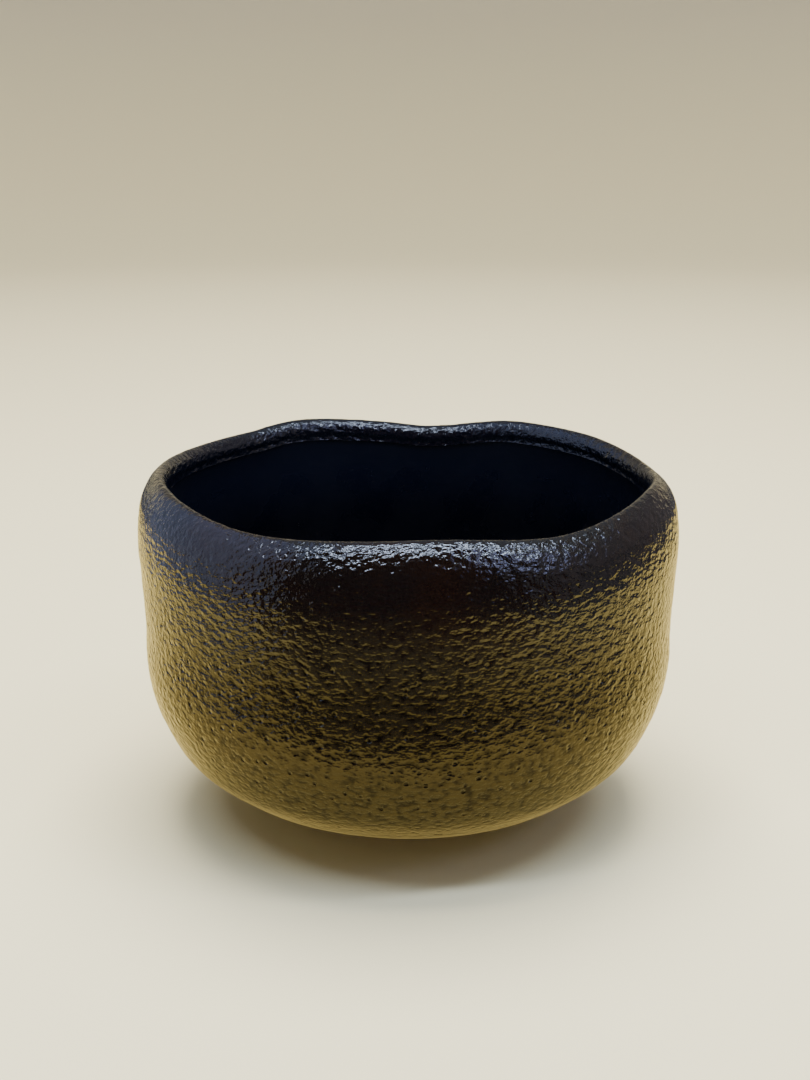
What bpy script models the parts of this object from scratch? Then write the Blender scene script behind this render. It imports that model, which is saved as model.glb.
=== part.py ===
"""Matcha bowl: a hand-formed tea bowl with a five-crested rim, modelled for Blender 4.5.

The bowl is four solids, as the real one is made: a fired clay body, a foot ring joined under it, and two
fired coats of glaze, one outside and over the lip, one inside. They touch with a gap of JOINT_GAP.
Every solid is a section in the plane of radius and height, spun round +Z and then pressed out of round by
one shared rule, the way a hand presses soft clay, so that the coats follow the clay everywhere.
Units are metres, +Z is up, and the origin is on the table, under the middle of the foot.
"""

import math

import bmesh
import bpy
from mathutils import Vector

# Driving dimensions
MM = 0.001
HEIGHT = 79.5 * MM
GLAZE_THICKNESS = 0.8 * MM
JOINT_GAP = 0.3 * MM
MERGE_DISTANCE = 0.01 * MM
SHARP_ANGLE = math.radians(50)

# Facets round the bowl, and along each stretch of a skin between two of its points
SEGMENTS = 56
OUTER_STEPS = 2
INNER_STEPS = 1

# The skin that a hand feels, as (radius, height) in millimetres of the average section.
# Outside: from the glaze's lower edge, round the hip, up the slightly waisted wall, over the shoulder and lip
# to the seam where the two coats of glaze meet.
OUTER_SKIN = (
    (28.5, 5.5), (41.5, 8.7), (46.7, 12.1), (52.0, 16.7), (55.0, 21.5), (58.1, 29.2), (59.4, 36.5),
    (59.4, 45.5), (59.9, 56.5), (60.3, 65.5), (59.6, 72.5), (58.4, 76.0), (56.8, 78.4), (55.2, 79.5),
    (53.9, 78.6), (53.2, 76.6), (53.3, 75.1),
)
# Inside: from that seam under the lip, down the wall and across the floor to the tea pool at its centre.
INNER_SKIN = (
    (53.3, 75.1), (54.1, 69.0), (54.1, 58.0), (53.4, 45.0), (52.6, 34.0), (50.4, 26.0), (46.0, 20.6),
    (37.0, 16.4), (22.0, 14.6), (17.5, 13.1), (12.0, 12.4), (0.0, 12.3),
)
# Underside of the clay, from where the glaze stops to the small raised point in the middle of the foot.
UNDERSIDE = ((25.8, 6.3), (18.2, 5.9), (7.0, 5.8), (3.0, 5.3), (0.0, 4.7))
# The foot ring: top face, inner wall, resting face and outer wall.
FOOT_RING = (
    (18.4, 5.6), (18.9, 1.0), (19.7, 0.0), (23.9, 0.0), (24.6, 0.8), (25.6, 5.2), (25.5, 5.95),
)

# The rim's five crests and the dips between them: (angle in degrees from +X, height in millimetres).
RIM_WAVE = (
    (8, 76.9), (40, 78.7), (60, 79.1), (85, 76.5), (96, 77.6), (121, 79.5), (135, 78.4), (150, 78.2),
    (197, 79.4), (239, 76.8), (275, 78.1), (303, 76.3), (342, 79.3),
)
WAVE_STARTS_AT = 52.0 * MM

# How far the wall leaves a true circle: an oval and a three-sided press.
OVAL = 0.25 * MM
OVAL_ANGLE = math.radians(46)
THREE_SIDED = 0.2 * MM
THREE_SIDED_ANGLE = math.radians(15)
PRESS_STARTS_AT = 8.0 * MM

# Finishes: slot name, base colour, roughness
GLAZE_BLACK = ("black_glaze", (0.014, 0.012, 0.010), 0.16)
CLAY_BROWN = ("fired_clay", (0.16, 0.095, 0.062), 0.85)


def in_metres(points):
    """Turns millimetre pairs into vectors of radius and height."""
    return [Vector((radius, height)) * MM for radius, height in points]


def smooth_line(points, steps):
    """A smooth line through the points, with `steps` pieces between neighbours."""
    tangents = [
        (points[min(i + 1, len(points) - 1)] - points[max(i - 1, 0)]).normalized()
        for i in range(len(points))
    ]
    line = []
    for start, end, leave, arrive in zip(points, points[1:], tangents, tangents[1:]):
        span = (end - start).length
        for i in range(steps):
            t = i / steps
            line.append(
                start * (1 + 2 * t) * (1 - t) ** 2
                + leave * span * t * (1 - t) ** 2
                + end * t * t * (3 - 2 * t)
                + arrive * span * t * t * (t - 1)
            )
    return line + [points[-1]]


def sunk(line, depth):
    """The line moved `depth` into the clay, which lies on its left."""
    moved = []
    for i, point in enumerate(line):
        along = (line[min(i + 1, len(line) - 1)] - line[max(i - 1, 0)]).normalized()
        moved.append(point + Vector((-along.y, along.x)) * depth)
    return moved


def rim_height(angle):
    """Height of the rim's crest line at an angle in radians, smooth through RIM_WAVE and flat at each turn."""
    degrees = math.degrees(angle) % 360
    knots = [(a + 360 * turn, height) for turn in (-1, 0, 1) for a, height in RIM_WAVE]

    def slope(i):
        before = (knots[i][1] - knots[i - 1][1]) / (knots[i][0] - knots[i - 1][0])
        after = (knots[i + 1][1] - knots[i][1]) / (knots[i + 1][0] - knots[i][0])
        return 0 if before * after <= 0 else 2 * before * after / (before + after)

    i = max(k for k in range(len(knots)) if knots[k][0] <= degrees)
    span = knots[i + 1][0] - knots[i][0]
    t = (degrees - knots[i][0]) / span
    return MM * (
        knots[i][1] * (1 + 2 * t) * (1 - t) ** 2
        + slope(i) * span * t * (1 - t) ** 2
        + knots[i + 1][1] * t * t * (3 - 2 * t)
        + slope(i + 1) * span * t * t * (t - 1)
    )


def eased(value, start, end):
    """0 below start, 1 above end, smooth between."""
    t = min(max((value - start) / (end - start), 0), 1)
    return t * t * (3 - 2 * t)


def hand_pressed(point):
    """Where a point of the turned bowl ends up once the rim is cut in a wave and the wall is pressed."""
    radius = math.hypot(point.x, point.y)
    if radius < MM:
        return point
    angle = math.atan2(point.y, point.x)
    height = point.z
    pressed = eased(height, PRESS_STARTS_AT, HEIGHT / 2)
    radius += pressed * OVAL * math.cos(2 * (angle - OVAL_ANGLE))
    radius += pressed * THREE_SIDED * math.cos(3 * (angle - THREE_SIDED_ANGLE))
    height += (rim_height(angle) - HEIGHT) * eased(height, WAVE_STARTS_AT, HEIGHT)
    return Vector((radius * math.cos(angle), radius * math.sin(angle), height))


def material(name, colour, roughness):
    """A Principled BSDF with the finish's colour and roughness."""
    made = bpy.data.materials.new(name)
    made.use_nodes = True
    shader = made.node_tree.nodes["Principled BSDF"]
    shader.inputs["Base Color"].default_value = (*colour, 1)
    shader.inputs["Roughness"].default_value = roughness
    shader.inputs["Metallic"].default_value = 0
    return made


def turned(name, section, finish, closed_loop):
    """Spins a section round +Z into one closed solid, then presses it by hand.

    A closed loop makes a ring. An open line starts and ends on the axis.
    """
    mesh = bmesh.new()
    points = [mesh.verts.new((p.x, 0, p.y)) for p in section]
    pairs = list(zip(points, points[1:]))
    if closed_loop:
        pairs.append((points[-1], points[0]))
    edges = [mesh.edges.new(pair) for pair in pairs]
    bmesh.ops.spin(
        mesh, geom=points + edges, axis=(0, 0, 1), cent=(0, 0, 0), angle=2 * math.pi,
        steps=SEGMENTS, use_merge=True,
    )
    bmesh.ops.remove_doubles(mesh, verts=mesh.verts, dist=MERGE_DISTANCE)
    bmesh.ops.recalc_face_normals(mesh, faces=mesh.faces)
    for vertex in mesh.verts:
        vertex.co = hand_pressed(vertex.co)
    data = bpy.data.meshes.new(name)
    mesh.to_mesh(data)
    mesh.free()
    data.shade_smooth()
    data.set_sharp_from_angle(angle=SHARP_ANGLE)
    data.materials.append(finish)
    made = bpy.data.objects.new(name, data)
    bpy.context.scene.collection.objects.link(made)
    return made


def outer_line():
    """The outside skin, from the glaze's lower edge to the seam under the lip."""
    return smooth_line(in_metres(OUTER_SKIN), OUTER_STEPS)


def inner_line():
    """The inside skin, from the seam under the lip to the axis."""
    return smooth_line(in_metres(INNER_SKIN), INNER_STEPS)


def clay_body(finish):
    """The cup of fired clay: wall, lip and floor, under the glaze inside and outside."""
    skin = outer_line() + inner_line()[1:]
    core = sunk(skin, GLAZE_THICKNESS + JOINT_GAP)
    core[-1].x = 0
    underside = in_metres(UNDERSIDE)
    return turned("clay_body", underside[::-1] + core, finish, closed_loop=False)


def foot_ring(finish):
    """The ring that the bowl stands on, joined under the clay body."""
    return turned("foot_ring", in_metres(FOOT_RING), finish, closed_loop=True)


def outer_glaze(finish):
    """The coat outside: from above the foot, up the wall and over the lip."""
    skin = outer_line()
    skin[-1].y += JOINT_GAP / 2
    return turned("outer_glaze", skin + sunk(skin, GLAZE_THICKNESS)[::-1], finish, closed_loop=True)


def inner_glaze(finish):
    """The coat inside: from under the lip down the wall and across the floor."""
    skin = inner_line()
    skin[0].y -= JOINT_GAP / 2
    back = sunk(skin, GLAZE_THICKNESS)
    back[-1].x = 0
    return turned("inner_glaze", skin[::-1] + back, finish, closed_loop=False)


def build():
    """Clears the scene and makes the four solids."""
    for old in list(bpy.data.objects):
        bpy.data.objects.remove(old)
    clay = material(*CLAY_BROWN)
    glaze = material(*GLAZE_BLACK)
    clay_body(clay)
    foot_ring(clay)
    outer_glaze(glaze)
    inner_glaze(glaze)


build()
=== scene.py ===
"""The looks of a hand-formed tea bowl in pitted black glaze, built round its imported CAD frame.

The bowl's four pieces are turned from sections, pressed out of round by one shared rule and then given the
relief of their surface: the glaze its crinkles and pits, the clay the marks of trimming.
Units are metres, +Z is up, and the front of the bowl faces -Y.
"""

import logging
import math
from dataclasses import dataclass, field
from enum import Enum
from itertools import product

import bmesh
import bpy
import numpy as np
from mathutils import Matrix, Vector


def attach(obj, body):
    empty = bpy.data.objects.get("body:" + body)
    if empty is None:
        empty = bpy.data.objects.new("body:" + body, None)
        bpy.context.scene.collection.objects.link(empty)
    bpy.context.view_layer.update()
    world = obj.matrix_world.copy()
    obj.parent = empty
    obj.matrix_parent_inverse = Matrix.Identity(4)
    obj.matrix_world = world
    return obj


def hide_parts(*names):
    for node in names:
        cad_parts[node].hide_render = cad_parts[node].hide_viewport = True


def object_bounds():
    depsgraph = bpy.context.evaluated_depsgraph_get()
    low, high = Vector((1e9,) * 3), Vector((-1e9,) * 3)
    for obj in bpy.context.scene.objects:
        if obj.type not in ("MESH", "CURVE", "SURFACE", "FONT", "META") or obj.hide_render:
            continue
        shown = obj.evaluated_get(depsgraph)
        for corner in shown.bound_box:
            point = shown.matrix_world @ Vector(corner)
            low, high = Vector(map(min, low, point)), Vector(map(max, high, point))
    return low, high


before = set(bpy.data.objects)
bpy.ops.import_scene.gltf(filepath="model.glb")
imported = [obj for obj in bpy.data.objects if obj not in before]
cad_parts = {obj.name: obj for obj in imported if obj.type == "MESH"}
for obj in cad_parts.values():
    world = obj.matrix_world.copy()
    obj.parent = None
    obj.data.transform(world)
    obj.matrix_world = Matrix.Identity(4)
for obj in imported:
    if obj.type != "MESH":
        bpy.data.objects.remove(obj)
CAD_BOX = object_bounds()

log = logging.getLogger("tea_bowl")

MM = 0.001
MERGE_DISTANCE = 0.01 * MM
SHARP_ANGLE = math.radians(50)
TURN_DOUBLINGS = 3
ROOT = "root"

LATTICE_SHIFT = 500.0
CELL_PRIMES = (73856093, 19349663, 83492791)
SEED_PRIME = 2654435761
WORD = 0xFFFFFFFF
MIX_STEPS = ((15, 739982445), (12, 695872825), (15, 1367130551))
FINER_BY = 2.03
FAINTER_BY = 0.5
NOISE_GAIN = 1.6

Colour = tuple[float, float, float]
Pair = tuple[float, float]
Number = np.ndarray | float
Value = bpy.types.NodeSocket | float
Tint = bpy.types.NodeSocket | Colour


class Slot(Enum):
    """The record's material slots."""

    GLAZE = "black_glaze"
    CLAY = "fired_clay"


# ---------------------------------------------------------------- shape


def eased(value: np.ndarray, start: float, end: float) -> np.ndarray:
    """A smooth step.

    Args:
        value: The numbers to ease.
        start: Where the step leaves 0.
        end: Where it reaches 1.

    Returns:
        0 below start, 1 above end, and a smooth rise between.
    """
    share = np.clip((value - start) / (end - start), 0.0, 1.0)
    return share * share * (3.0 - 2.0 * share)


def hermite(start: Number, end: Number, leave: Number, arrive: Number, share: Number) -> Number:
    """A cubic from start to end.

    Args:
        start: Its first value.
        end: Its last value.
        leave: Its slope at the start, times the span.
        arrive: Its slope at the end, times the span.
        share: How far along it is, from 0 to 1.

    Returns:
        The value there.
    """
    rest = 1.0 - share
    return (
        start * (1.0 + 2.0 * share) * rest**2
        + leave * share * rest**2
        + end * share**2 * (3.0 - 2.0 * share)
        + arrive * share**2 * (share - 1.0)
    )


@dataclass(frozen=True)
class Outline:
    """A line in the plane of radius and height, smooth through a few points in millimetres."""

    points: tuple[Pair, ...]
    fine_steps: int = 40

    def drawn(self) -> np.ndarray:
        """The whole line, finely drawn.

        Returns:
            Rows of radius and height in metres.
        """
        knots = np.array(self.points) * MM
        after = np.vstack([knots[1:], knots[-1:]])
        before = np.vstack([knots[:1], knots[:-1]])
        tangents = after - before
        tangents /= np.linalg.norm(tangents, axis=1)[:, None]
        rows = []
        for i in range(len(knots) - 1):
            span = np.linalg.norm(knots[i + 1] - knots[i])
            for step in range(self.fine_steps):
                share = step / self.fine_steps
                rows.append(
                    hermite(knots[i], knots[i + 1], tangents[i] * span, tangents[i + 1] * span, share)
                )
        rows.append(knots[-1])
        return np.array(rows)

    def spaced(self, spacing: float) -> np.ndarray:
        """The line with points an even distance apart.

        Args:
            spacing: That distance in metres, nearly.

        Returns:
            Rows of radius and height in metres.
        """
        line = self.drawn()
        along = np.concatenate([[0.0], np.cumsum(np.linalg.norm(np.diff(line, axis=0), axis=1))])
        places = np.linspace(0.0, along[-1], max(2, round(along[-1] / spacing) + 1))
        return np.column_stack([np.interp(places, along, line[:, 0]), np.interp(places, along, line[:, 1])])


def sunk(line: np.ndarray, depth: float) -> np.ndarray:
    """A line moved into the clay, which lies on its left.

    Args:
        line: Rows of radius and height.
        depth: How far it moves.

    Returns:
        The moved rows.
    """
    along = np.gradient(line, axis=0)
    along /= np.linalg.norm(along, axis=1)[:, None]
    return line + np.column_stack([-along[:, 1], along[:, 0]]) * depth


def faded_at_seam(front: np.ndarray, rows: int, sink: float) -> np.ndarray:
    """Smooths a coat where it meets the other under the lip, and sinks it there by its mean relief.

    Args:
        front: The coat's rows of radius and height from that seam on, which are changed in place.
        rows: How many of them the smoothing takes.
        sink: The mean relief in metres.

    Returns:
        For each row, how much relief it takes, from 0 at the seam to 1.
    """
    relief = np.clip(np.arange(len(front)) / rows, 0.0, 1.0)
    front[:, 0] += (1.0 - relief) * sink
    return relief


@dataclass(frozen=True)
class HandPress:
    """How the hand leaves the turned bowl: a rim of five crests, and a wall a little out of round."""

    height: float = 79.5 * MM
    rim_wave: tuple[Pair, ...] = (
        (8, 76.9), (40, 78.7), (60, 79.1), (85, 76.5), (96, 77.6), (121, 79.5), (135, 78.4),
        (150, 78.2), (197, 79.4), (239, 76.8), (275, 78.1), (303, 76.3), (342, 79.3),
    )
    wave_starts_at: float = 52.0 * MM
    oval: float = 0.25 * MM
    oval_angle: float = math.radians(46)
    three_sided: float = 0.2 * MM
    three_sided_angle: float = math.radians(15)
    press_starts_at: float = 8.0 * MM

    def rim_height(self, angle: np.ndarray) -> np.ndarray:
        """Height of the rim's crest line.

        Args:
            angle: Angles from +X in radians.

        Returns:
            Heights in metres, smooth through rim_wave and level at each crest and dip.
        """
        wave = np.array(self.rim_wave)
        knots = np.vstack([wave - (360, 0), wave, wave + (360, 0)])
        slopes = np.diff(knots[:, 1]) / np.diff(knots[:, 0])
        before, after = slopes[:-1], slopes[1:]
        turning = before * after <= 0
        inner = np.where(turning, 0.0, 2 * before * after / np.where(turning, 1.0, before + after))
        tangents = np.concatenate([[0.0], inner, [0.0]])
        degrees = np.degrees(angle) % 360.0
        i = np.searchsorted(knots[:, 0], degrees, side="right") - 1
        span = knots[i + 1, 0] - knots[i, 0]
        share = (degrees - knots[i, 0]) / span
        return MM * hermite(
            knots[i, 1], knots[i + 1, 1], tangents[i] * span, tangents[i + 1] * span, share
        )

    def pressed(self, turned: np.ndarray) -> np.ndarray:
        """Where the turned bowl's points end up.

        Args:
            turned: Rows of x, y and z.

        Returns:
            The moved rows.
        """
        radius = np.hypot(turned[:, 0], turned[:, 1])
        angle = np.arctan2(turned[:, 1], turned[:, 0])
        z = turned[:, 2]
        press = eased(z, self.press_starts_at, self.height / 2) * (radius > MM)
        wide = radius + press * (
            self.oval * np.cos(2 * (angle - self.oval_angle))
            + self.three_sided * np.cos(3 * (angle - self.three_sided_angle))
        )
        rise = (self.rim_height(angle) - self.height) * eased(z, self.wave_starts_at, self.height)
        return np.column_stack(
            [wide * np.cos(angle), wide * np.sin(angle), z + rise * (radius > MM)]
        )


PRESS = HandPress()


def spin_full(shell: bmesh.types.BMesh, section: list, steps: int) -> None:
    """Spins a section all the way round +Z and closes the seam and the poles.

    Args:
        shell: The mesh that holds the section.
        section: The section's vertices and edges.
        steps: Facets round, a multiple of 2 to the power of TURN_DOUBLINGS.
    """
    turn = 2 * math.pi / 2**TURN_DOUBLINGS
    bmesh.ops.spin(
        shell,
        geom=section,
        axis=(0, 0, 1),
        cent=(0, 0, 0),
        angle=turn,
        steps=steps // 2**TURN_DOUBLINGS,
    )
    for _ in range(TURN_DOUBLINGS):
        wedge = [*shell.verts, *shell.edges, *shell.faces]
        copied = bmesh.ops.duplicate(shell, geom=wedge)["geom"]
        points = [item for item in copied if isinstance(item, bmesh.types.BMVert)]
        bmesh.ops.rotate(shell, verts=points, matrix=Matrix.Rotation(turn, 3, "Z"))
        turn *= 2
    bmesh.ops.remove_doubles(shell, verts=shell.verts, dist=MERGE_DISTANCE)


def turned_mesh(
    name: str, line: np.ndarray, skin: np.ndarray, steps: int, is_ring: bool
) -> bpy.types.Mesh:
    """Spins a section round +Z into one closed shell and presses it by hand.

    Args:
        name: The mesh's name.
        line: Rows of radius and height. An open line starts and ends on the axis.
        skin: For each row, how much of the surface's relief it takes, from 0 to 1.
        steps: Facets round the bowl.
        is_ring: Whether the line's last point joins its first.

    Returns:
        The mesh, with its skin shares in the attribute "skin".
    """
    shell = bmesh.new()
    share = shell.verts.layers.float.new("skin")
    section = []
    for (radius, height), weight in zip(line, skin):
        vertex = shell.verts.new((radius, 0.0, height))
        vertex[share] = weight
        section.append(vertex)
    ends = section[1:] + section[:1] if is_ring else section[1:]
    edges = [shell.edges.new(pair) for pair in zip(section, ends)]
    spin_full(shell, section + edges, steps)
    bmesh.ops.recalc_face_normals(shell, faces=shell.faces)
    mesh = bpy.data.meshes.new(name)
    shell.to_mesh(mesh)
    shell.free()
    write_points(mesh, PRESS.pressed(points_of(mesh)))
    mesh.shade_smooth()
    mesh.set_sharp_from_angle(angle=SHARP_ANGLE)
    return mesh


def points_of(mesh: bpy.types.Mesh) -> np.ndarray:
    """A mesh's points.

    Args:
        mesh: The mesh.

    Returns:
        Rows of x, y and z.
    """
    flat = np.zeros(len(mesh.vertices) * 3)
    mesh.vertices.foreach_get("co", flat)
    return flat.reshape(-1, 3)


def write_points(mesh: bpy.types.Mesh, points: np.ndarray) -> None:
    """Moves a mesh's points to rows of x, y and z."""
    mesh.vertices.foreach_set("co", points.astype(np.float32).ravel())
    mesh.update()


def normals_of(mesh: bpy.types.Mesh) -> np.ndarray:
    """A mesh's point normals.

    Args:
        mesh: The mesh.

    Returns:
        Rows of x, y and z.
    """
    flat = np.zeros(len(mesh.vertices) * 3)
    mesh.vertices.foreach_get("normal", flat)
    return flat.reshape(-1, 3)


def skin_of(mesh: bpy.types.Mesh) -> np.ndarray:
    """How much relief each point of a mesh takes.

    Args:
        mesh: The mesh.

    Returns:
        A share from 0 to 1 for each point.
    """
    shares = np.zeros(len(mesh.vertices))
    mesh.attributes["skin"].data.foreach_get("value", shares)
    return shares


def shuffled(cells: np.ndarray, seed: int) -> np.ndarray:
    """Even random numbers, always the same for the same cell of a cubic lattice.

    Args:
        cells: Whole numbers, with x, y and z along the last axis.
        seed: Picks one of many such sets.

    Returns:
        A number from 0 to 1 for each cell.
    """
    word = np.uint64(WORD)
    x, y, z = (cells[..., i].astype(np.uint64) * np.uint64(CELL_PRIMES[i]) for i in range(3))
    mixed = ((x ^ y ^ z) + np.uint64(seed * SEED_PRIME)) & word
    for shift, factor in MIX_STEPS:
        mixed = ((mixed ^ (mixed >> np.uint64(shift))) * np.uint64(factor)) & word
    return mixed.astype(float) / WORD


def noise_at(points: np.ndarray, size: Colour, octaves: int, seed: int) -> np.ndarray:
    """Smooth gradient noise over a surface.

    Args:
        points: Rows of x, y and z.
        size: How wide its lumps are along x, y and z, in metres.
        octaves: How many finer layers are added to it.
        seed: Picks one of many such noises.

    Returns:
        A value near -1 to 1 for each row.
    """
    values = np.zeros(len(points))
    for octave in range(octaves):
        place = points / np.array(size) * FINER_BY**octave + LATTICE_SHIFT
        cell = np.floor(place)
        inside = place - cell
        fade = inside**3 * (inside * (inside * 6 - 15) + 10)
        total = np.zeros(len(points))
        for corner in product((0, 1), repeat=3):
            at = cell + corner
            lean = np.column_stack([shuffled(at, 3 * (seed + octave) + i) for i in range(3)]) * 2 - 1
            share = np.prod(np.where(corner, fade, 1 - fade), axis=1)
            total += share * np.sum(lean * (inside - corner), axis=1)
        values += NOISE_GAIN * FAINTER_BY**octave * total
    return values


@dataclass(frozen=True)
class Relief:
    """One layer of a surface's relief: smooth lumps and hollows of about one size."""

    depth: float
    size: Colour
    octaves: int
    seed: int
    sunk_by: float

    def heights(self, points: np.ndarray) -> np.ndarray:
        """Its heights in metres at rows of x, y and z, mostly below 0 for a high sunk_by."""
        return self.depth * (noise_at(points, self.size, self.octaves, self.seed) - self.sunk_by)


@dataclass(frozen=True)
class PitScatter:
    """Round pits scattered over a surface."""

    depth: float
    spacing: float
    widest: float
    share: float
    seed: int
    narrowest: float = 0.45

    def depths(self, points: np.ndarray) -> np.ndarray:
        """How deep the pits are.

        Args:
            points: Rows of x, y and z.

        Returns:
            For each row, a depth in metres: the full depth at a pit's middle, and 0 outside the pits.
        """
        place = points / self.spacing + LATTICE_SHIFT
        depths = np.zeros(len(points))
        for step in product((-1, 0, 1), repeat=3):
            cell = np.floor(place) + step
            middle = cell + np.column_stack([shuffled(cell, self.seed + i) for i in range(3)])
            spread = self.narrowest + (1.0 - self.narrowest) * shuffled(cell, self.seed + 3)
            distance = np.linalg.norm(place - middle, axis=1)
            hole = np.clip(1.0 - (distance / (self.widest * spread)) ** 2, 0.0, 1.0)
            depths = np.maximum(depths, hole * (shuffled(cell, self.seed + 4) < self.share))
        return self.depth * depths


def placed(
    name: str, mesh: bpy.types.Mesh, node: str, finish: bpy.types.Material
) -> bpy.types.Object:
    """Puts a finished piece in the scene in place of its CAD node.

    Args:
        name: The piece's name.
        mesh: Its mesh, already in place.
        node: The CAD node that it stands for.
        finish: Its material.

    Returns:
        The piece.
    """
    piece = bpy.data.objects.new(name, mesh)
    bpy.context.scene.collection.objects.link(piece)
    mesh.materials.append(finish)
    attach(piece, ROOT)
    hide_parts(node)
    log.info("%s: %d faces, for %s", name, len(mesh.polygons), node)
    return piece


# ---------------------------------------------------------------- finishes


class Recipe:
    """A material's nodes, added one at a time and linked as they are added."""

    def __init__(self, name: str) -> None:
        """Starts a material with a Principled shader.

        Args:
            name: The material's name.
        """
        self.material = bpy.data.materials.new(name)
        self.material.use_nodes = True
        self.tree = self.material.node_tree
        self.shader = self.tree.nodes["Principled BSDF"]
        self.place = self.add("ShaderNodeTexCoord").outputs["Object"]

    def add(self, kind: str, options: dict[str, str] | None = None, **sockets: Value) -> bpy.types.Node:
        """Adds a node.

        Args:
            kind: Its type.
            options: Its own settings, by name.
            **sockets: Values or outputs for its inputs, by name with _ for a space.

        Returns:
            The node.
        """
        node = self.tree.nodes.new(kind)
        for key, value in (options or {}).items():
            setattr(node, key, value)
        for key, value in sockets.items():
            self.feed(node.inputs[key.replace("_", " ")], value)
        return node

    def feed(self, socket: bpy.types.NodeSocket, value: Value | tuple[float, ...]) -> None:
        """Fills an input.

        Args:
            socket: The input.
            value: An output to link to it, or a value to set it to.
        """
        if isinstance(value, bpy.types.NodeSocket):
            self.tree.links.new(value, socket)
        else:
            socket.default_value = value

    def sum(
        self, kind: str, first: Value, second: Value, third: Value | None = None
    ) -> bpy.types.NodeSocket:
        """A Math node.

        Args:
            kind: Its operation.
            first: Its first value or output.
            second: Its second.
            third: Its third, where the operation has one.

        Returns:
            Its output.
        """
        node = self.tree.nodes.new("ShaderNodeMath")
        node.operation = kind
        for socket, value in zip(node.inputs, (first, second, third)):
            if value is not None:
                self.feed(socket, value)
        return node.outputs[0]

    def noise(
        self,
        scale: float,
        detail: float = 2.0,
        roughness: float = 0.5,
        place: bpy.types.NodeSocket | None = None,
    ) -> bpy.types.NodeSocket:
        """Smooth noise from 0 to 1.

        Args:
            scale: Lumps in a metre.
            detail: How many finer layers it has.
            roughness: How strong they are.
            place: Where it is read, or the piece's own coordinates.

        Returns:
            Its output.
        """
        node = self.add(
            "ShaderNodeTexNoise",
            Vector=place or self.place,
            Scale=scale,
            Detail=detail,
            Roughness=roughness,
        )
        return node.outputs["Fac"]

    def ramp(
        self,
        value: bpy.types.NodeSocket,
        low: float,
        high: float,
        to_low: float = 0.0,
        to_high: float = 1.0,
    ) -> bpy.types.NodeSocket:
        """A smooth, clamped change of range.

        Args:
            value: The output to map.
            low: The value that gives to_low.
            high: The value that gives to_high.
            to_low: The result at low and past it.
            to_high: The result at high and past it.

        Returns:
            The mapped output.
        """
        node = self.add("ShaderNodeMapRange", {"interpolation_type": "SMOOTHSTEP"})
        for socket, number in zip(node.inputs, (value, low, high, to_low, to_high)):
            self.feed(socket, number)
        return node.outputs["Result"]

    def blend(self, share: Value, first: Tint, second: Tint) -> bpy.types.NodeSocket:
        """Mixes two colours.

        Args:
            share: How much of the second there is, as an output or a number.
            first: A colour or an output.
            second: A colour or an output.

        Returns:
            The mixed colour.
        """
        node = self.add("ShaderNodeMix", {"data_type": "RGBA"})
        colours = [socket for socket in node.inputs if socket.type == "RGBA"]
        self.feed(node.inputs["Factor"], share)
        for socket, colour in zip(colours, (first, second)):
            self.feed(socket, (*colour, 1.0) if isinstance(colour, tuple) else colour)
        return next(socket for socket in node.outputs if socket.type == "RGBA")

    def height(self) -> bpy.types.NodeSocket:
        """The height above the table, in metres."""
        return self.add("ShaderNodeSeparateXYZ", Vector=self.place).outputs["Z"]

    def radius(self) -> bpy.types.NodeSocket:
        """The distance from the bowl's axis.

        Returns:
            Its output, in metres.
        """
        flat = self.add("ShaderNodeMapping", Vector=self.place)
        flat.inputs["Scale"].default_value = (1.0, 1.0, 0.0)
        kind = {"operation": "LENGTH"}
        return self.add("ShaderNodeVectorMath", kind, Vector=flat.outputs["Vector"]).outputs["Value"]


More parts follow.
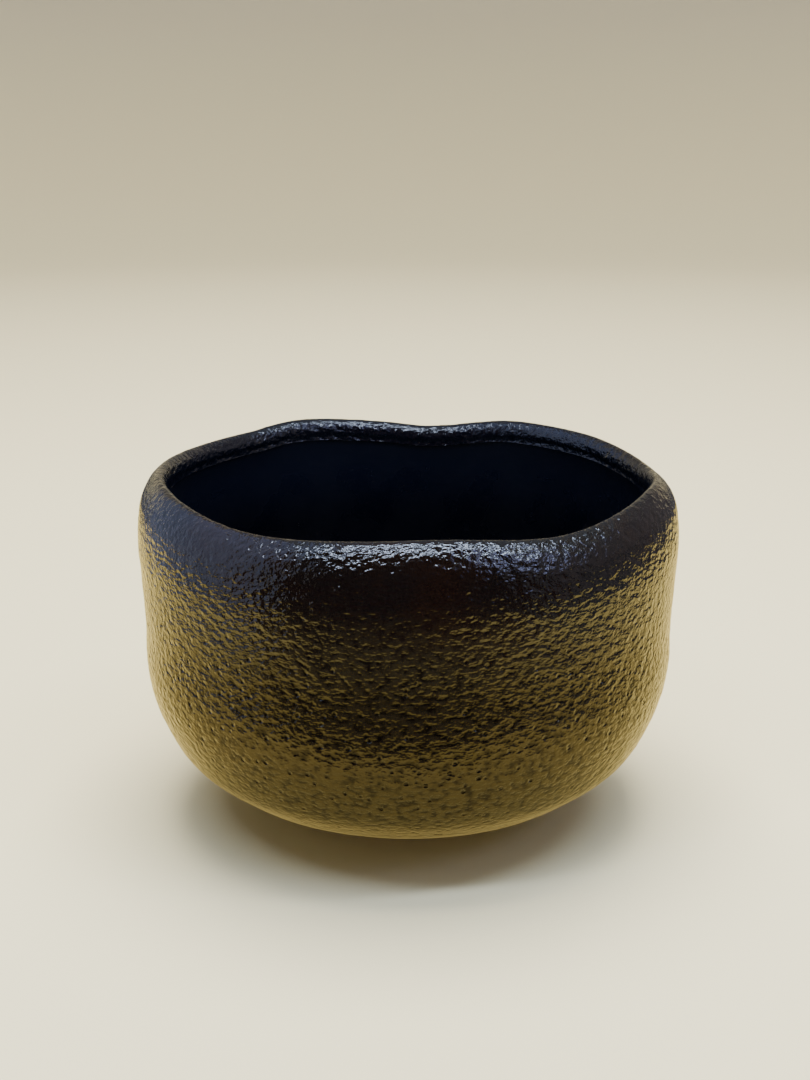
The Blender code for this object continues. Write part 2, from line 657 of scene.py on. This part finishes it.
@dataclass(frozen=True)
class BlackGlaze:
    """A glossy black glaze with an orange-peel skin, small pits, and a dark olive lustre on the wall.

    The olive lustre is partly the glaze's own olive cast and partly a painted reflection of a warm floor:
    it fades out up the wall, turns brighter near the foot as painted reflection, and is darkened in the
    pits and the peel's hollows as painted shade. Where the glaze faces inward it is a bluish black, the
    blue a painted reflection. A pair is where a change starts and where it ends: metres up the wall or from
    the axis, or values of a pattern. The names in per_metre count a pattern's lumps in a metre.
    """

    name: str
    black: Colour = (0.0030, 0.0028, 0.0032)
    brown: Colour = (0.0060, 0.0030, 0.0022)
    patches_per_metre: float = 45.0
    patches_roughness: float = 0.6
    patches_edge: Pair = (0.4, 0.7)
    # The glaze where it faces inward: a bluish black, the blue a painted reflection.
    inside: Colour = (0.0018, 0.0026, 0.0060)
    inside_shine: float = 0.18
    inside_above: Pair = (0.066, 0.070)
    inside_within: Pair = (0.0540, 0.0556)
    # The lustre's colour: partly the glaze's own olive cast, partly a painted reflection of a warm floor.
    lustre_and_painted_reflection: Colour = (0.064, 0.054, 0.031)
    # Painted reflection: a brighter lustre near the foot, where the floor under the bowl lies in its shade.
    painted_gleam_low: Colour = (0.100, 0.084, 0.046)
    # Painted shade: the lustre darkened in the pits and the peel's hollows.
    painted_hollow_shade: Colour = (0.009, 0.007, 0.006)
    lustre_and_reflection_share: float = 0.75
    # Heights over which the lustre, with its painted reflection, fades out up the wall.
    lustre_and_reflection_ends: Pair = (0.042, 0.068)
    # Heights over which the brighter painted reflection near the foot gives way to the plain lustre.
    painted_gleam_below: Pair = (0.010, 0.028)
    ior: float = 1.72
    shine_low: float = 0.025
    shine_high: float = 0.055
    shine_per_metre: float = 90.0
    shine_edge: Pair = (0.35, 0.65)
    peel_depth: float = 0.52 * MM
    peel_per_metre: float = 620.0
    peel_flatness: float = 1.4
    peel_detail: float = 2.5
    peel_roughness: float = 0.45
    peel_hollow: Pair = (0.30, 0.58)
    grain_depth: float = 0.030 * MM
    grain_per_metre: float = 1650.0
    grain_roughness: float = 0.55
    grain_high_share: float = 3.8
    pit_depth: float = 0.30 * MM
    pits_per_metre: float = 430.0
    pits_end: Pair = (0.046, 0.062)
    pit_edge: Pair = (0.10, 0.30)
    pit_choice: Pair = (0.22, 0.52)
    calm_below: Pair = (0.010, 0.024)
    calm_above: Pair = (0.064, 0.074)
    calm_low_share: float = 0.35
    calm_high_share: float = 0.8

    def material(self) -> bpy.types.Material:
        """Mixes the glaze.

        Returns:
            The material.
        """
        mix = Recipe(self.name)
        height = mix.height()
        peel = self._peel(mix)
        pits = self._pits(mix)
        inner_lip = self._inner_lip(mix)
        relief = self._relief(mix, height, peel, pits)
        bump = mix.add("ShaderNodeBump", Strength=1.0, Distance=1.0, Height=relief)
        mix.feed(mix.shader.inputs["Normal"], bump.outputs["Normal"])
        # Metallic lustre, partly real and partly painted reflection, strongest low on the wall.
        lustre_and_painted_reflection = mix.ramp(height, *self.lustre_and_reflection_ends, self.lustre_and_reflection_share, 0.0)
        mix.feed(mix.shader.inputs["Metallic"], lustre_and_painted_reflection)
        # Painted shade in the pits and the peel's hollows.
        painted_shade_share = mix.sum("MAXIMUM", pits, mix.ramp(peel, *self.peel_hollow, 1.0, 0.0))
        # Painted reflection: the lustre brighter near the foot.
        lustre_with_painted_gleam = mix.blend(mix.ramp(height, *self.painted_gleam_below), self.painted_gleam_low, self.lustre_and_painted_reflection)
        lustre_with_painted_light = mix.blend(painted_shade_share, lustre_with_painted_gleam, self.painted_hollow_shade)
        wall = mix.blend(lustre_and_painted_reflection, self._body(mix), lustre_with_painted_light)
        # Inward the glaze takes that bluish black with its painted reflection.
        mix.feed(mix.shader.inputs["Base Color"], mix.blend(inner_lip, wall, self.inside))
        cloud = mix.noise(self.shine_per_metre, 3.0)
        shine = mix.ramp(cloud, *self.shine_edge, self.shine_low, self.shine_high)
        duller = mix.sum("MULTIPLY", inner_lip, self.inside_shine)
        mix.feed(mix.shader.inputs["Roughness"], mix.sum("MAXIMUM", shine, duller))
        mix.shader.inputs["IOR"].default_value = self.ior
        return mix.material

    def _relief(self, mix: Recipe, height: Value, peel: Value, pits: Value) -> bpy.types.NodeSocket:
        """The height of the glaze's skin: its peel, less its pits, and its grain.

        Args:
            mix: The material.
            height: The height above the table.
            peel: The peel, from 0 to 1.
            pits: The pits, from 0 to 1.

        Returns:
            Its output, in metres.
        """
        calm = mix.sum(
            "MULTIPLY",
            mix.ramp(height, *self.calm_below, self.calm_low_share, 1.0),
            mix.ramp(height, *self.calm_above, 1.0, self.calm_high_share),
        )
        skin = mix.sum("MULTIPLY", mix.sum("MULTIPLY", peel, self.peel_depth), calm)
        deep = mix.ramp(height, *self.pits_end, -self.pit_depth, 0.0)
        pitted = mix.sum("MULTIPLY_ADD", pits, deep, skin)
        grain_top = self.grain_depth * self.grain_high_share
        grain = mix.ramp(height, *self.calm_above, self.grain_depth, grain_top)
        grit = mix.noise(self.grain_per_metre, 2.0, self.grain_roughness)
        return mix.sum("MULTIPLY_ADD", grit, grain, pitted)

    def _peel(self, mix: Recipe) -> bpy.types.NodeSocket:
        """The orange peel.

        Args:
            mix: The material.

        Returns:
            Its output, from 0 in its hollows to 1 on its crests.
        """
        flat = mix.add("ShaderNodeMapping", Vector=mix.place)
        flat.inputs["Scale"].default_value = (1.0, 1.0, self.peel_flatness)
        return mix.noise(
            self.peel_per_metre, self.peel_detail, self.peel_roughness, flat.outputs["Vector"]
        )

    def _pits(self, mix: Recipe) -> bpy.types.NodeSocket:
        """The pits.

        Args:
            mix: The material.

        Returns:
            Their output, from 0 outside them to 1 at the bottom.
        """
        cells = mix.add("ShaderNodeTexVoronoi", Vector=mix.place, Scale=self.pits_per_metre)
        hole = mix.ramp(cells.outputs["Distance"], *self.pit_edge, 1.0, 0.0)
        some = mix.add("ShaderNodeSeparateColor", Color=cells.outputs["Color"]).outputs["Red"]
        return mix.sum("MULTIPLY", hole, mix.ramp(some, *self.pit_choice))

    def _inner_lip(self, mix: Recipe) -> bpy.types.NodeSocket:
        """The part of the glaze that faces inward high up: on the outer coat the lip's inner face, on the
        inner coat its upper wall. It takes the bluish black with its painted reflection, and a duller
        finish.

        Args:
            mix: The material.

        Returns:
            Its output, from 0 outside it to 1.
        """
        high = mix.ramp(mix.height(), *self.inside_above)
        near = mix.ramp(mix.radius(), *self.inside_within, 1.0, 0.0)
        return mix.sum("MULTIPLY", high, near)

    def _body(self, mix: Recipe) -> bpy.types.NodeSocket:
        """Black, browner in soft patches."""
        patches = mix.noise(self.patches_per_metre, 4.0, self.patches_roughness)
        return mix.blend(mix.ramp(patches, *self.patches_edge), self.black, self.brown)


@dataclass(frozen=True)
class Specks:
    """Round specks of one colour scattered through the clay."""

    colour: Colour
    per_metre: float
    edge: Pair
    strength: float

    def laid_over(self, mix: Recipe, tone: bpy.types.NodeSocket) -> bpy.types.NodeSocket:
        """Lays the specks over a colour.

        Args:
            mix: The material.
            tone: The colour's output.

        Returns:
            The speckled colour.
        """
        cells = mix.add("ShaderNodeTexVoronoi", Vector=mix.place, Scale=self.per_metre)
        spot = mix.ramp(cells.outputs["Distance"], *self.edge, 0.0, self.strength)
        return mix.blend(spot, tone, self.colour)


@dataclass(frozen=True)
class FiredClay:
    """Bare stoneware: warm grey-brown, with dark iron specks and pale grog."""

    name: str
    body: Colour = (0.16, 0.095, 0.062)
    scorched: Colour = (0.075, 0.040, 0.026)
    scorch_per_metre: float = 70.0
    scorch_roughness: float = 0.65
    scorch_edge: Pair = (0.35, 0.68)
    grog: Specks = Specks((0.34, 0.25, 0.18), 620.0, (0.22, 0.14), 0.8)
    iron: Specks = Specks((0.018, 0.012, 0.010), 290.0, (0.16, 0.09), 0.9)
    roughness_ends: Pair = (0.72, 0.92)
    roughness_per_metre: float = 160.0
    roughness_edge: Pair = (0.3, 0.7)
    grit_depth: float = 0.12 * MM
    grit_per_metre: float = 1500.0
    grit_roughness: float = 0.6

    def material(self) -> bpy.types.Material:
        """Mixes the clay.

        Returns:
            The material.
        """
        mix = Recipe(self.name)
        scorch = mix.noise(self.scorch_per_metre, 5.0, self.scorch_roughness)
        tone = mix.blend(mix.ramp(scorch, *self.scorch_edge), self.body, self.scorched)
        tone = self.grog.laid_over(mix, tone)
        tone = self.iron.laid_over(mix, tone)
        mix.feed(mix.shader.inputs["Base Color"], tone)
        cloud = mix.noise(self.roughness_per_metre, 3.0)
        shine = mix.ramp(cloud, *self.roughness_edge, *self.roughness_ends)
        mix.feed(mix.shader.inputs["Roughness"], shine)
        grit = mix.sum(
            "MULTIPLY", mix.noise(self.grit_per_metre, 4.0, self.grit_roughness), self.grit_depth
        )
        bump = mix.add("ShaderNodeBump", Strength=1.0, Distance=1.0, Height=grit)
        mix.feed(mix.shader.inputs["Normal"], bump.outputs["Normal"])
        return mix.material


# ---------------------------------------------------------------- the bowl


@dataclass
class OuterGlaze:
    """The coat outside: from above the foot, up the wall and over the lip."""

    skin: Outline = Outline((
        (28.5, 5.5), (41.5, 8.7), (46.7, 12.1), (52.0, 16.7), (55.0, 21.5), (58.1, 29.2),
        (59.4, 36.5), (59.4, 45.5), (59.9, 56.5), (60.3, 65.5), (59.6, 72.5), (58.4, 76.0),
        (56.8, 78.4), (55.2, 79.5), (53.9, 78.6), (53.2, 76.6), (53.3, 75.1),
    ))
    thickness: float = 0.8 * MM
    seam_gap: float = 0.02 * MM
    seam_sink: float = 0.055 * MM
    seam_rows: int = 6
    row_spacing: float = 0.48 * MM
    back_spacing: float = 12.0 * MM
    steps: int = 440
    dents: Relief = Relief(0.10 * MM, (0.026, 0.026, 0.020), 1, 37, 0.3)
    lumps: Relief = Relief(0.055 * MM, (0.0055, 0.0055, 0.0040), 2, 91, 0.3)
    crinkles: Relief = Relief(0.055 * MM, (0.0026, 0.0026, 0.0017), 2, 53, 0.2)
    pits: PitScatter = PitScatter(0.14 * MM, 6.0 * MM, 0.22, 0.5, 17)
    calm_below: Pair = (0.010, 0.022)
    calm_low_share: float = 0.35
    calm_above: Pair = (0.064, 0.074)
    calm_high_share: float = 0.8
    finish: BlackGlaze = field(default_factory=lambda: BlackGlaze("outer_black_glaze"))

    def section(self) -> tuple[np.ndarray, np.ndarray]:
        """The coat's closed section.

        Returns:
            Rows of radius and height, and how much relief each of them takes.
        """
        front = self.skin.spaced(self.row_spacing)
        relief = faded_at_seam(front[::-1], self.seam_rows, self.seam_sink)[::-1]
        front[-1, 1] += self.seam_gap
        back = sunk(self.skin.spaced(self.back_spacing), self.thickness)[::-1]
        line = np.vstack([front, back])
        skin = np.concatenate([relief, np.zeros(len(back))])
        skin[0] = 0.5
        return line, skin

    def calm(self, height: np.ndarray) -> np.ndarray:
        """How much of the lumps and crinkles there is, less near the foot and on the lip.

        Args:
            height: Heights in metres.

        Returns:
            A share from 0 to 1 for each.
        """
        low = self.calm_low_share + (1.0 - self.calm_low_share) * eased(height, *self.calm_below)
        return low * (1.0 - (1.0 - self.calm_high_share) * eased(height, *self.calm_above))

    def relieved(self, mesh: bpy.types.Mesh) -> None:
        """Presses the dents of fingers, the lumps, the crinkles and the pits into the coat.

        Args:
            mesh: The coat's mesh.
        """
        points = points_of(mesh)
        skin = skin_of(mesh)
        shown = skin > 0
        at = points[shown]
        fine = self.lumps.heights(at) + self.crinkles.heights(at)
        relief = self.dents.heights(at) + self.calm(at[:, 2]) * fine - self.pits.depths(at)
        moved = normals_of(mesh)[shown] * np.minimum(relief, 0.0)[:, None] * skin[shown][:, None]
        points[shown] += moved
        points[:, 2] = np.minimum(points[:, 2], CAD_BOX[1].z)
        write_points(mesh, points)

    def build(self) -> bpy.types.Object:
        """Turns, relieves and dresses the coat.

        Returns:
            The piece.
        """
        line, skin = self.section()
        mesh = turned_mesh("outer_glaze_coat", line, skin, self.steps, is_ring=True)
        self.relieved(mesh)
        return placed("outer_glaze_coat", mesh, "outer_glaze", self.finish.material())


@dataclass
class InnerGlaze:
    """The coat inside: from under the lip, down the wall and across the floor to the tea pool."""

    skin: Outline = Outline((
        (53.3, 75.1), (54.1, 69.0), (54.1, 58.0), (53.4, 45.0), (52.6, 34.0), (50.4, 26.0),
        (46.0, 20.6), (37.0, 16.4), (22.0, 14.6), (17.5, 13.1), (12.0, 12.4), (0.0, 12.3),
    ))
    thickness: float = 0.8 * MM
    seam_gap: float = 0.02 * MM
    seam_sink: float = 0.055 * MM
    seam_rows: int = 6
    row_spacing: float = 0.7 * MM
    back_spacing: float = 12.0 * MM
    steps: int = 360
    lumps: Relief = Relief(0.06 * MM, (0.009, 0.009, 0.007), 2, 22, 0.9)
    finish: BlackGlaze = field(
        default_factory=lambda: BlackGlaze(
            "inner_black_glaze",
            # The inside's black and brown lean blue, and its upper wall is a lighter blue: painted
            # reflection.
            black=(0.0008, 0.0012, 0.0032),
            brown=(0.0008, 0.0010, 0.0024),
            inside=(0.0046, 0.0064, 0.0150),
            inside_shine=0.34,
            inside_above=(0.050, 0.072),
            inside_within=(0.0580, 0.0600),
            ior=1.5,
            shine_low=0.22,
            shine_high=0.34,
            lustre_and_reflection_share=0.0,
            peel_depth=0.08 * MM,
            grain_depth=0.012 * MM,
            pit_depth=0.06 * MM,
            grain_high_share=1.0,
            calm_below=(0.011, 0.017),
            calm_above=(0.078, 0.082),
        )
    )

    def section(self) -> tuple[np.ndarray, np.ndarray]:
        """The coat's closed section.

        Returns:
            Rows of radius and height, and how much relief each of them takes.
        """
        front = self.skin.spaced(self.row_spacing)
        relief = faded_at_seam(front, self.seam_rows, self.seam_sink)
        front[0, 1] -= self.seam_gap
        front[-1, 0] = 0.0
        back = sunk(self.skin.spaced(self.back_spacing), self.thickness)
        back[-1, 0] = 0.0
        line = np.vstack([front[::-1], back])
        skin = np.concatenate([relief[::-1], np.zeros(len(back))])
        return line, skin

    def relieved(self, mesh: bpy.types.Mesh) -> None:
        """Lets the coat lie in soft lumps.

        Args:
            mesh: The coat's mesh.
        """
        points = points_of(mesh)
        skin = skin_of(mesh)
        shown = skin > 0
        at = points[shown]
        relief = self.lumps.heights(at)
        moved = normals_of(mesh)[shown] * np.minimum(relief, 0.0)[:, None]
        points[shown] += moved
        write_points(mesh, points)

    def build(self) -> bpy.types.Object:
        """Turns, relieves and dresses the coat.

        Returns:
            The piece.
        """
        line, skin = self.section()
        mesh = turned_mesh("inner_glaze_coat", line, skin, self.steps, is_ring=False)
        self.relieved(mesh)
        return placed("inner_glaze_coat", mesh, "inner_glaze", self.finish.material())


@dataclass
class ClayBody:
    """The cup of fired clay, which shows only underneath, round the foot and inside it."""

    outer: OuterGlaze
    inner: InnerGlaze
    finish: bpy.types.Material
    joint_gap: float = 0.3 * MM
    underside: Outline = Outline(((0.0, 4.7), (3.0, 5.3), (7.0, 5.8), (18.2, 5.9), (25.8, 6.3)))
    row_spacing: float = 0.5 * MM
    hidden_spacing: float = 3.0 * MM
    steps: int = 256
    spiral_depth: float = 0.06 * MM
    spiral_pitch: float = 3.2 * MM
    spiral_from: Pair = (2.0 * MM, 5.0 * MM)
    grit: Relief = Relief(0.05 * MM, (0.003, 0.003, 0.003), 3, 44, 0.0)

    def build(self) -> bpy.types.Object:
        """Turns, trims and dresses the body.

        Returns:
            The piece.
        """
        under = self.underside.spaced(self.row_spacing)
        cover = np.vstack([
            self.outer.skin.spaced(self.hidden_spacing),
            self.inner.skin.spaced(self.hidden_spacing)[1:],
        ])
        core = sunk(cover, self.outer.thickness + self.joint_gap)
        core[-1, 0] = 0.0
        line = np.vstack([under, core])
        skin = np.concatenate([np.ones(len(under)), np.zeros(len(core))])
        mesh = turned_mesh("bare_clay_body", line, skin, self.steps, is_ring=False)
        points = points_of(mesh)
        radius = np.hypot(points[:, 0], points[:, 1])
        angle = np.arctan2(points[:, 1], points[:, 0])
        spiral = np.sin(radius / self.spiral_pitch * 2 * math.pi - angle)
        trim = self.spiral_depth * spiral * eased(radius, *self.spiral_from)
        points[:, 2] += skin_of(mesh) * (trim + self.grit.heights(points))
        write_points(mesh, points)
        return placed("bare_clay_body", mesh, "clay_body", self.finish)


@dataclass
class FootRing:
    """The ring that the bowl stands on."""

    finish: bpy.types.Material
    section: tuple[Pair, ...] = (
        (18.4, 5.6), (18.9, 1.0), (19.7, 0.0), (23.9, 0.0), (24.6, 0.8), (25.6, 5.2), (25.5, 5.95),
    )
    spacing: float = 0.5 * MM
    steps: int = 256
    grit: Relief = Relief(0.10 * MM, (0.004, 0.004, 0.003), 3, 66, 0.6)

    def build(self) -> bpy.types.Object:
        """Turns and dresses the ring.

        Returns:
            The piece.
        """
        corners = np.array(self.section + self.section[:1]) * MM
        rows = []
        for start, end in zip(corners, corners[1:]):
            count = max(1, round(float(np.linalg.norm(end - start)) / self.spacing))
            rows += [start + (end - start) * i / count for i in range(count)]
        line = np.array(rows)
        mesh = turned_mesh("bare_foot_ring", line, np.ones(len(line)), self.steps, is_ring=True)
        points = points_of(mesh)
        relief = np.minimum(self.grit.heights(points), 0.0)
        points += normals_of(mesh) * relief[:, None]
        points[:, 2] = np.maximum(points[:, 2], 0.0)
        write_points(mesh, points)
        return placed("bare_foot_ring", mesh, "foot_ring", self.finish)


# ---------------------------------------------------------------- the studio


@dataclass(frozen=True)
class Lamp:
    """A softbox: a flat panel of light that faces the bowl."""

    name: str
    place: Colour
    size: Pair
    watts: float
    colour: Colour
    shows_in_gloss: bool = True

    def hang(self, aim: Vector) -> None:
        """Puts the lamp up, facing a point.

        Args:
            aim: That point.
        """
        data = bpy.data.lights.new(self.name, "AREA")
        data.shape = "RECTANGLE"
        data.size, data.size_y = self.size
        data.energy = self.watts
        data.color = self.colour
        lamp = bpy.data.objects.new(self.name, data)
        lamp.location = self.place
        lamp.rotation_euler = (aim - lamp.location).to_track_quat("-Z", "Y").to_euler()
        lamp.visible_glossy = self.shows_in_gloss
        bpy.context.scene.collection.objects.link(lamp)


@dataclass(frozen=True)
class Card:
    """A curved card that stands round the bowl and shows only in its gloss, as a studio's flags do."""

    name: str
    colour: Colour
    radius: float
    start: float
    end: float
    height: float
    lift: float = 1.0 * MM
    steps: int = 24

    def stand(self) -> None:
        """Stands the card up, from the start angle to the end angle in degrees from +X."""
        sheet = bmesh.new()
        start = math.radians(self.start)
        side = Vector((math.cos(start), math.sin(start), 0.0))
        foot = sheet.verts.new(side * self.radius + Vector((0.0, 0.0, self.lift)))
        head = sheet.verts.new(side * self.radius + Vector((0.0, 0.0, self.height)))
        edge = sheet.edges.new((foot, head))
        bmesh.ops.spin(
            sheet, geom=[foot, head, edge], axis=(0, 0, 1), cent=(0, 0, 0),
            angle=math.radians(self.end) - start, steps=self.steps,
        )
        mesh = bpy.data.meshes.new(self.name)
        sheet.to_mesh(mesh)
        sheet.free()
        mesh.materials.append(matt(self.name, self.colour))
        only_in_gloss(bpy.data.objects.new(self.name, mesh))


@dataclass(frozen=True)
class Mat:
    """A round mat on the floor that shows only in the glaze's gloss."""

    name: str
    colour: Colour
    middle: Colour
    radius: float
    glow: float = 0.0
    segments: int = 96

    def lay(self) -> None:
        """Lays the mat down."""
        disc = bmesh.new()
        bmesh.ops.create_circle(disc, cap_ends=True, segments=self.segments, radius=self.radius)
        bmesh.ops.translate(disc, verts=disc.verts, vec=self.middle)
        mesh = bpy.data.meshes.new(self.name)
        disc.to_mesh(mesh)
        disc.free()
        mesh.materials.append(matt(self.name, self.colour, self.glow))
        only_in_gloss(bpy.data.objects.new(self.name, mesh))


def matt(name: str, colour: Colour, glow: float = 0.0) -> bpy.types.Material:
    """Mixes a matt finish of one colour.

    Args:
        name: The material's name.
        colour: Its colour.
        glow: How strongly it shines by itself, for where the bowl would shade it.

    Returns:
        The material.
    """
    mix = Recipe(name)
    mix.shader.inputs["Base Color"].default_value = (*colour, 1.0)
    mix.shader.inputs["Roughness"].default_value = 1.0
    mix.shader.inputs["Specular IOR Level"].default_value = 0.0
    mix.shader.inputs["Emission Color"].default_value = (*colour, 1.0)
    mix.shader.inputs["Emission Strength"].default_value = glow
    return mix.material


def only_in_gloss(card: bpy.types.Object) -> None:
    """Puts a card in the studio, seen by nothing but the glaze's gloss.

    Args:
        card: The card or mat.
    """
    card.visible_camera = False
    card.visible_diffuse = False
    card.visible_shadow = False
    card.visible_transmission = False
    bpy.context.scene.collection.objects.link(card)


@dataclass
class Studio:
    """A plain pale floor that sweeps up all round, soft lamps, cards for the gloss, and the camera."""

    floor_radius: float = 1.1
    sweep: float = 0.6
    sweep_steps: int = 12
    wall: float = 0.9
    floor_steps: int = 96
    wall_tone_ends: Pair = (0.02, 0.5)
    floor_colour: Colour = (0.90, 0.80, 0.50)
    wall_colour: Colour = (0.60, 0.57, 0.54)
    sky: Colour = (0.62, 0.66, 0.74)
    sky_strength: float = 0.5
    camera_place: Colour = (-0.00067, -0.3466, 0.1633)
    camera_pitch: float = math.radians(16.3)
    lens: float = 53.33
    lamps: tuple[Lamp, ...] = (
        Lamp("top_softbox", (0.05, -0.24, 0.62), (0.85, 0.07), 4.8, (0.64, 0.76, 1.0)),
        Lamp("side_softbox", (0.37, -0.27, 0.36), (0.20, 0.12), 0.30, (0.46, 0.54, 1.0)),
        Lamp("floor_wash", (0.0, 0.1, 0.95), (0.6, 0.6), 18.0, (1.0, 0.98, 0.93), False),
        Lamp("back_wash", (0.0, 0.9, 0.9), (1.2, 0.5), 5.0, (1.0, 0.98, 0.95), False),
    )
    cards: tuple[Card, ...] = (
        Card("front_drape", (0.026, 0.014, 0.012), 0.62, -145.0, -40.0, 0.75),
        Card("left_card", (0.210, 0.250, 0.430), 0.27, 140.0, 215.0, 0.5),
        Card("right_card", (0.120, 0.110, 0.130), 0.80, -40.0, 55.0, 0.6),
    )
    mats: tuple[Mat, ...] = (
        Mat("wide_mat", (0.05, 0.05, 0.055), (0.0, 0.0, 0.0003), 1.0),
        Mat("straw_mat", (0.52, 0.390, 0.122), (0.0, 0.107, 0.0006), 0.235, 0.8),
        Mat("dark_mat", (0.028, 0.012, 0.011), (-0.10, -1.100, 0.001), 1.0),
    )

    def floor(self) -> None:
        """Lays the floor and sweeps it up into a round wall."""
        bend = [math.pi / 2 * i / self.sweep_steps for i in range(self.sweep_steps + 1)]
        rim = self.floor_radius
        profile = [(0.0, 0.0), (rim / 2, 0.0)]
        profile += [(rim + self.sweep * math.sin(a), self.sweep * (1 - math.cos(a))) for a in bend]
        profile.append((rim + self.sweep, self.sweep + self.wall))
        shell = bmesh.new()
        points = [shell.verts.new((radius, 0.0, height)) for radius, height in profile]
        edges = [shell.edges.new(pair) for pair in zip(points, points[1:])]
        bmesh.ops.spin(
            shell, geom=points + edges, axis=(0, 0, 1), cent=(0, 0, 0), angle=2 * math.pi,
            steps=self.floor_steps, use_merge=True,
        )
        bmesh.ops.remove_doubles(shell, verts=shell.verts, dist=MM)
        mesh = bpy.data.meshes.new("floor")
        shell.to_mesh(mesh)
        shell.free()
        mesh.shade_smooth()
        mix = Recipe("pale_floor")
        up = mix.ramp(mix.height(), *self.wall_tone_ends)
        tone = mix.blend(up, self.floor_colour, self.wall_colour)
        mix.feed(mix.shader.inputs["Base Color"], tone)
        mix.shader.inputs["Roughness"].default_value = 0.95
        mix.shader.inputs["Specular IOR Level"].default_value = 0.1
        mesh.materials.append(mix.material)
        floor = bpy.data.objects.new("floor", mesh)
        bpy.context.scene.collection.objects.link(floor)

    def air(self) -> None:
        """Sets the even light that comes from all round."""
        world = bpy.data.worlds.new("studio_air")
        world.use_nodes = True
        background = world.node_tree.nodes["Background"]
        background.inputs["Color"].default_value = (*self.sky, 1.0)
        background.inputs["Strength"].default_value = self.sky_strength
        bpy.context.scene.world = world

    def camera(self) -> None:
        """Sets up the camera."""
        data = bpy.data.cameras.new("camera")
        data.lens = self.lens
        data.clip_start = 0.01
        camera = bpy.data.objects.new("camera", data)
        camera.location = self.camera_place
        camera.rotation_euler = (math.pi / 2 - self.camera_pitch, 0.0, 0.0)
        bpy.context.scene.collection.objects.link(camera)
        bpy.context.scene.camera = camera

    def build(self) -> None:
        """Builds the studio round the bowl."""
        self.floor()
        self.air()
        low, high = CAD_BOX
        for lamp in self.lamps:
            lamp.hang((low + high) / 2)
        for card in self.cards:
            card.stand()
        for mat in self.mats:
            mat.lay()
        self.camera()


def main() -> None:
    """Builds the bowl, piece by piece, and the studio round it."""
    logging.basicConfig(level=logging.INFO, format="%(name)s %(message)s")
    clay = FiredClay("bare_stoneware").material()
    outer = OuterGlaze()
    inner = InnerGlaze()
    outer.build()
    inner.build()
    ClayBody(outer, inner, clay).build()
    FootRing(clay).build()
    Studio().build()


if __name__ == "__main__":
    main()
